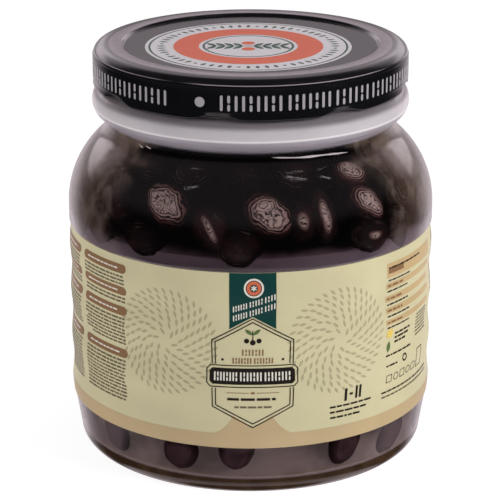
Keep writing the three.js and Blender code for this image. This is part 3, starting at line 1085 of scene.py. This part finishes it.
def front_print(ink, rng):
    """Green ribbon, six-sided frame, dark plaque and the small marks in them."""
    slope = (FRAME_TOP - FRAME_UPPER) / FRAME_HALF
    foot = FRAME_TOP + 0.7
    side = foot - slope * RIBBON_HALF
    ink["green"].append([
        (FRONT - RIBBON_HALF, side), (FRONT, foot), (FRONT + RIBBON_HALF, side),
        (FRONT + RIBBON_HALF, LABEL_TOP - 0.05), (FRONT - RIBBON_HALF, LABEL_TOP - 0.05),
    ])
    badge = (FRONT + 0.35, 78.1)
    ink["white"] += ring(*badge, 3.4, 2.75)
    ink["orange"] += ring(*badge, 2.45, 1.35)
    for k in range(6):
        angle = math.radians(60 * k + 30)
        ink["white"].append(leaf(badge[0], badge[1], 1.15, 0.5, angle))
    for bottom in (69.3, 66.0):
        for left, right in ((-6.0, -1.2), (-0.3, 4.0), (4.9, 8.4)):
            start = bottom + 0.32 * (left + 6)
            ink["white"] += tally(left, start, right, 2.2, 0.42, 0.92, 0.32)
    for inset in (0.0, 1.15):
        for line in (frame_line(inset, 50.4, None), frame_line(inset, None, 41.7)):
            ink["dark"] += stroke(line, 0.38)
    ink["dark"] += stroke(chamfered(*PLAQUE, 1.3), 0.35, closed=True)
    left, bottom, right, top = PLAQUE
    ink["dark"].append(chamfered(left + 0.95, bottom + 0.95, right - 0.95, top - 0.95, 1.0))
    for start, end in ((-12.6, -4.6), (-3.6, 3.8), (4.8, 13.7)):
        ink["white"] += tally(start, 44.4, end, 3.2, 0.55, 1.12)
    # A symmetrical sprig of two leaves over three olives
    for sign in (1, -1):
        angle = math.pi / 2 - sign * math.radians(52)
        ink["leaf"].append(leaf(FRONT, 61.2, 3.4, 1.3, angle))
        ink["dark"].append(disc(FRONT + sign * 2.1, 59.2, 0.85))
    ink["dark"].append(disc(FRONT, 58.6, 0.95))
    ink["dark"] += stroke([(FRONT, 59.3), (FRONT, 62.8)], 0.3)
    for start, end, low, tall in ((-2.9, 4.4, 53.6, 2.5), (-6.2, 0.3, 50.6, 2.3), (1.2, 7.7, 50.6, 2.3)):
        ink["brown"] += tally(start, low, end, tall, 0.5, 1.05)
    for sign in (1, -1):
        ink["dark"].append(disc(FRONT + sign * 10.4, 50.7 + 1.4, 0.45))
        ink["brown"] += stroke([(FRONT + sign * 1.4, 40.1), (FRONT + sign * 9, 40.1)], 0.22)
    ink["brown"].append(leaf(FRONT - 0.9, 40.1, 1.8, 0.9, 0))
    ink["dark"] += fine_print(rng, -8.0, 8.6, 37.2, 0.95)
    ink["faint"] += fine_print(rng, -5.6, 7.2, 34.3, 0.7)


def column(ink, rng, left, right, headings, colour, lines):
    """Headed blocks of fine print, one under another."""
    for (top, tall), count in zip(headings, lines):
        ink[colour].append(pill(left, top - tall, right, top))
        ink["white"] += fine_print(rng, left + 3, right - 4, top - tall / 2 - 0.28, 0.55)
        for k in range(count):
            indent = rng.uniform(0.5, 5) if k % 4 == 3 else 0.6
            ink["faint"] += fine_print(rng, left + indent, right - 0.8, top - tall - 1.5 - 1.32 * k, 0.62)


def side_print(ink, rng):
    """Columns of print round the sides and the back of the label."""
    heads = [(80.6, 3.2), (72.5, 3.2), (65.1, 3.2), (49.4, 3.2)]
    for left in (-71.9, -97.0, -122.1, -147.2):
        column(ink, rng, left, left + (25.1 if left > -75 else 21.7), heads, "brown", (3, 2, 8, 12))
    tall = [(79.8, 5.2), (72.6, 2.2), (67.6, 2.1), (63.3, 2.0), (58.9, 1.9)]
    for left, right in ((52.5, 85.5), (93.0, 118.0)):
        for top, size in tall:
            ink["tan"].append(slab(left, top - size, right, top))
            ink["brown"] += fine_print(rng, left + 0.8, left + 9.5, top - size * 0.72, size * 0.4)
            ink["dark"] += fine_print(rng, left + 0.8, left + 14, top - size - 1.35, 0.55)
        ink["dark"] += fine_print(rng, left + 1, left + 22, 77.8, 0.6)
    # A small flower and a leaf beside three lines
    for k in range(7):
        ink["yellow"].append(leaf(55.0, 53.6, 2.2, 1.0, math.radians(360 * k / 7)))
    ink["leaf"].append(leaf(54.0, 46.6, 4.2, 2.1, math.radians(75)))
    for k in range(3):
        ink["dark"] += fine_print(rng, 58, 69 - 2 * k, 52.4 - 1.6 * k, 0.75)
    ink["dark"] += fine_print(rng, 53.0, 69.5, 45.2, 0.6)
    for k in range(7):
        ink["faint"] += fine_print(rng, 73, 84, 55 - 1.3 * k, 0.55)
    for k in range(5):
        x = 53.5 + 4 * k
        box = slab(x, 35.3, x + 2.8, 38.0)
        ink["dark"] += ring(x + 1.4, 36.6, 1.45, 1.2, 20) if k % 2 else stroke(box, 0.25, True)
    ink["dark"] += fine_print(rng, 53, 60, 41.4, 0.6)
    ink["dark"] += ring(64.0, 42.2, 1.5, 0.9, 20) + stroke(slab(74, 35, 78.5, 42), 0.3, True)
    for k in range(2):
        ink["dark" if k == 0 else "faint"] += fine_print(rng, 51.2, 86, 31.6 - 1.7 * k, 0.6)
    # Grade mark with its three lines
    ink["dark"].append(slab(34.2, 33.4, 35.2, 38.2))
    ink["dark"].append(slab(36.3, 35.3, 37.6, 36.2))
    for x in (38.7, 40.3):
        ink["dark"].append(slab(x, 33.6, x + 0.9, 38.4))
    for k in range(3):
        ink["dark"] += fine_print(rng, 28.4, 46.5 - 3 * k, 31.6 - 1.9 * k, 0.65)
    # Ruled table behind the jar
    for k in range(9):
        ink["brown"] += stroke([(130, 78 - 5.4 * k), (172, 78 - 5.4 * k)], 0.25)
        if k < 8:
            ink["faint"] += fine_print(rng, 131.5, 150 - 1.5 * (k % 3), 74.8 - 5.4 * k, 0.75)
            ink["faint"] += fine_print(rng, 157, 166, 74.8 - 5.4 * k, 0.75)
    for x in (130, 154, 172):
        ink["brown"] += stroke([(x, 34.8), (x, 78)], 0.25)


def label_print(rng):
    ink = defaultdict(list)
    front_print(ink, rng)
    side_print(ink, rng)
    # A plain tan band along the foot, swept up to meet the frame
    edge = LABEL_BOTTOM + 0.05
    half = math.pi * LABEL_RADIUS
    rise = [(-13.5, 0.0), (-11.5, 0.9), (-9.4, 2.6), (-7.7, 4.9), (-6.9, 6.6)]
    ink["band"].append(slab(-half, edge, half, BAND_TOP))
    for sign in (1, -1):
        shape = [(FRONT + sign * x, BAND_TOP + y) for x, y in rise]
        shape += [(FRONT, FRAME_FOOT - 0.4), (FRONT, BAND_TOP)]
        ink["band"].append(shape if sign < 0 else shape[::-1])
    for x in (-30.4, 32.0):
        ink["pattern"] += rosette(x, 56.5, 7, 2.45, 2.9, 1.0)
    return ink


def make_print():
    rng = random.Random(SEED + 1)
    ink = label_print(rng)
    # Each ink with its colour and its layer, as what is printed later lies on top
    inks = {
        "band": ((192, 168, 128), 1),
        "pattern": ((176, 166, 132), 1),
        "green": ((4, 64, 60), 2),
        "tan": ((196, 168, 122), 2),
        "brown": ((140, 104, 72), 3),
        "leaf": ((92, 116, 62), 3),
        "yellow": ((226, 196, 92), 3),
        "dark": ((36, 29, 25), 3),
        "faint": ((108, 96, 76), 3),
        "white": ((226, 220, 208), 4),
        "orange": ((214, 106, 74), 4),
    }
    for name, (colour, layer) in inks.items():
        material = film("ink_" + name, colour, 0.4, 0.04)
        add_print("print_" + name, ink[name], on_label, layer, material)


# Marks round the skirt: their foot and head, the spot that starts each of three repeats, and the groups of
# bars after it
SKIRT_LOW = 137.1
SKIRT_HIGH = 142.5
SPOT_START = -17.3
SPOT_RADIUS = 1.75
GROUPS = ((7.0, 27.9), (30.1, 45.4), (47.6, 61.8), (63.9, 105.0))
# Badge in the panel: its radius, its outer circle of leaves and its broad orange ring
BADGE_RADIUS = 36.5
BADGE_LEAVES = 60
BADGE_LEAF_START = 29.0
BADGE_BAND = (26.5, 17.5)


def skirt_marks():
    """Pale bars and spots round the skirt, three times over."""
    marks = []
    for k in range(3):
        start = SPOT_START + k * 2 * math.pi * LID_RADIUS / 3
        marks.append(disc(start, (SKIRT_LOW + SKIRT_HIGH) / 2, SPOT_RADIUS))
        for left, right in GROUPS:
            marks += tally(start + left, SKIRT_LOW, start + right, SKIRT_HIGH - SKIRT_LOW, 0.95, 2.6)
    return marks


def badge_print():
    """A ring of small leaves and a broad orange ring round a twig with two fruits."""
    ink = defaultdict(list)
    ink["white"].append(disc(0, 0, BADGE_RADIUS, 96))
    ink["green"] += ring(0, 0, 35.3, 34.6, 96)
    for k in range(BADGE_LEAVES):
        angle = 2 * math.pi * k / BADGE_LEAVES
        cos, sin = math.cos(angle), math.sin(angle)
        if k % 5 == 4:
            ink["green"].append(disc(30.8 * cos, 30.8 * sin, 0.7, 12))
        else:
            ink["green"].append(leaf(BADGE_LEAF_START * cos, BADGE_LEAF_START * sin, 3.6, 1.5, angle))
    ink["orange"] += ring(0, 0, *BADGE_BAND, 72)
    ink["green"] += ring(0, 0, 16.2, 15.4, 60)
    for sign in (1, -1):
        for k in range(4):
            for up in (1, -1):
                turn = up * math.radians(90 - sign * 38)
                ink["green"].append(leaf(sign * (2 + 3.1 * k), 0, 5.6, 2.1, turn))
    ink["green"] += stroke([(-13, 0), (13, 0)], 0.8)
    ink["orange"] += [disc(0, 4.4, 2.4), disc(0, -4.4, 2.4)]
    return ink


def make_lid_print():
    pale = film("lid_pale_ink", (160, 155, 159), 0.35, 0.03)
    add_print("skirt_marks", skirt_marks(), on_skirt, 0, pale)
    ink = badge_print()
    # Each ink with its colour and how strongly it mirrors, in the order of printing
    inks = {"white": ((252, 249, 252), 0.15), "green": ((74, 106, 92), 0.1), "orange": ((255, 128, 98), 0.1)}
    for layer, (name, (colour, gloss)) in enumerate(inks.items()):
        material = film("badge_" + name, colour, 0.4, 0.01, gloss)
        add_print("badge_" + name, ink[name], on_panel, layer, material, 12.0)


def show_unmirrored(thing):
    """Puts an object into the scene that no surface mirrors and nothing clear shows."""
    thing.visible_glossy = False
    thing.visible_transmission = False
    bpy.context.scene.collection.objects.link(thing)


def add_light(name, location, size, power):
    """A soft square light that points at the jar."""
    data = bpy.data.lights.new(name, "AREA")
    data.energy = power
    data.size = size
    light = bpy.data.objects.new(name, data)
    light.location = location
    light.rotation_euler = (Vector(LIGHT_TARGET) - Vector(location)).to_track_quat("-Z", "Y").to_euler()
    show_unmirrored(light)


# The studio's sizes are metres.
FLOOR_HALF = 6.0
LIGHT_TARGET = (0, 0, 0.08)
# Short lamp tubes overhead, across the view: how far right and how far back each is for a metre of height
TUBES = [(-0.62, -0.4), (0.4, -0.21), (0.68, -0.1)]
TUBE_POWER = 4.0


def make_floor():
    """A matt table that glows a little, so that it comes out nearly white."""
    g = new_graph("table_white")
    material = g.finish(g.surface({
        "Base Color": g.mix(g.noise(6, 3), (0.29, 0.29, 0.29, 1), (0.31, 0.31, 0.31, 1)),
        "Emission Color": (1, 1, 1, 1),
        "Emission Strength": 0.9,
        "Roughness": 0.9,
        "Specular IOR Level": 0.0,
    }))
    mesh = bpy.data.meshes.new("floor")
    h = FLOOR_HALF
    mesh.from_pydata([(-h, -h, 0), (h, -h, 0), (h, h, 0), (-h, h, 0)], [], [(0, 1, 2, 3)])
    mesh.materials.append(material)
    floor = bpy.data.objects.new("floor", mesh)
    show_unmirrored(floor)


def make_world():
    """What the jar mirrors: a dim front, bright sides and back, a pale table and lamp tubes overhead."""
    world = bpy.data.worlds.new("studio")
    bpy.context.scene.world = world
    g = Graph(world)
    axes = g.add("SeparateXYZ", {0: g.add("TexCoord").outputs["Generated"]}).outputs
    x, y, z = (axes[name] for name in "XYZ")
    aside = g.math("ABSOLUTE", x)
    # Bright low behind the jar, where its edges mirror it, brighter on both flanks
    light = g.times(g.ramp(y, 0.45, 0.9, 0.0, 0.56), g.ramp(z, -0.1, 0.05, 1.0, 0.5))
    flank = g.times(g.ramp(aside, 0.1, 0.4), g.ramp(y, 0.6, 0.85))
    light = g.plus(light, g.times(flank, 0.36))
    # Brighter still to both sides just over the table, for the lid's rim
    beside = g.times(g.ramp(aside, 0.07, 0.15), g.ramp(y, 0.58, 0.72))
    beside = g.times(beside, g.times(g.ramp(z, 0.08, 0.16, 0.0, 1.2), g.fade(z, 0.32, 0.42)))
    light = g.plus(light, beside)
    # A soft light higher up behind it for the lid's top, which ends sharply overhead
    above = g.times(g.ramp(z, 0.19, 0.27), g.fade(z, 0.56, 0.68))
    light = g.plus(light, g.times(above, g.ramp(y, 0.4, 0.6, 0.0, 0.35)))
    # A dim front overhead, a strip of the pale table before the jar's foot, and the lamp tubes
    light = g.plus(light, g.ramp(z, 0.1, 0.4, 0.015, 0.09))
    light = g.plus(light, g.times(g.ramp(z, -0.95, -0.88), g.fade(z, -0.76, -0.68)))
    right = g.math("DIVIDE", x, z)
    back = g.math("DIVIDE", y, z)
    overhead = g.ramp(z, 0.1, 0.2)
    for tube_right, tube_back in TUBES:
        along = g.fade(g.gap(right, tube_right), 0.06, 0.12)
        across = g.fade(g.gap(back, tube_back), 0.004, 0.013)
        tube = g.times(g.times(along, across), overhead)
        light = g.plus(light, g.times(tube, TUBE_POWER))
    # The camera itself sees white.
    strength = g.math("MAXIMUM", light, g.add("LightPath").outputs["Is Camera Ray"])
    shader = g.add("Background", {"Color": (1.0, 0.89, 0.95, 1), "Strength": strength})
    g.add("OutputWorld", {"Surface": shader.outputs[0]})


def make_camera():
    """The photograph's view: a long lens that looks down at the jar's front."""
    data = bpy.data.cameras.new("camera")
    data.lens = 163.8
    data.sensor_width = 36
    camera = bpy.data.objects.new("camera", data)
    camera.location = (-0.00021, -0.7877, 0.3354)
    camera.rotation_euler = (math.radians(90 - 18.64), 0, 0)
    bpy.context.scene.collection.objects.link(camera)
    bpy.context.scene.camera = camera


make_camera()
make_floor()
make_world()
add_light("key", (0.995, -0.574, 0.62), 0.5, 10.8)
add_light("left", (-1.1, -0.295, 0.45), 0.6, 4.9)
make_jar()
make_brine()
make_air()
make_core()
make_olives()
make_label()
make_print()
make_lid()
make_lid_print()

bpy.context.scene.view_settings.view_transform = "Standard"
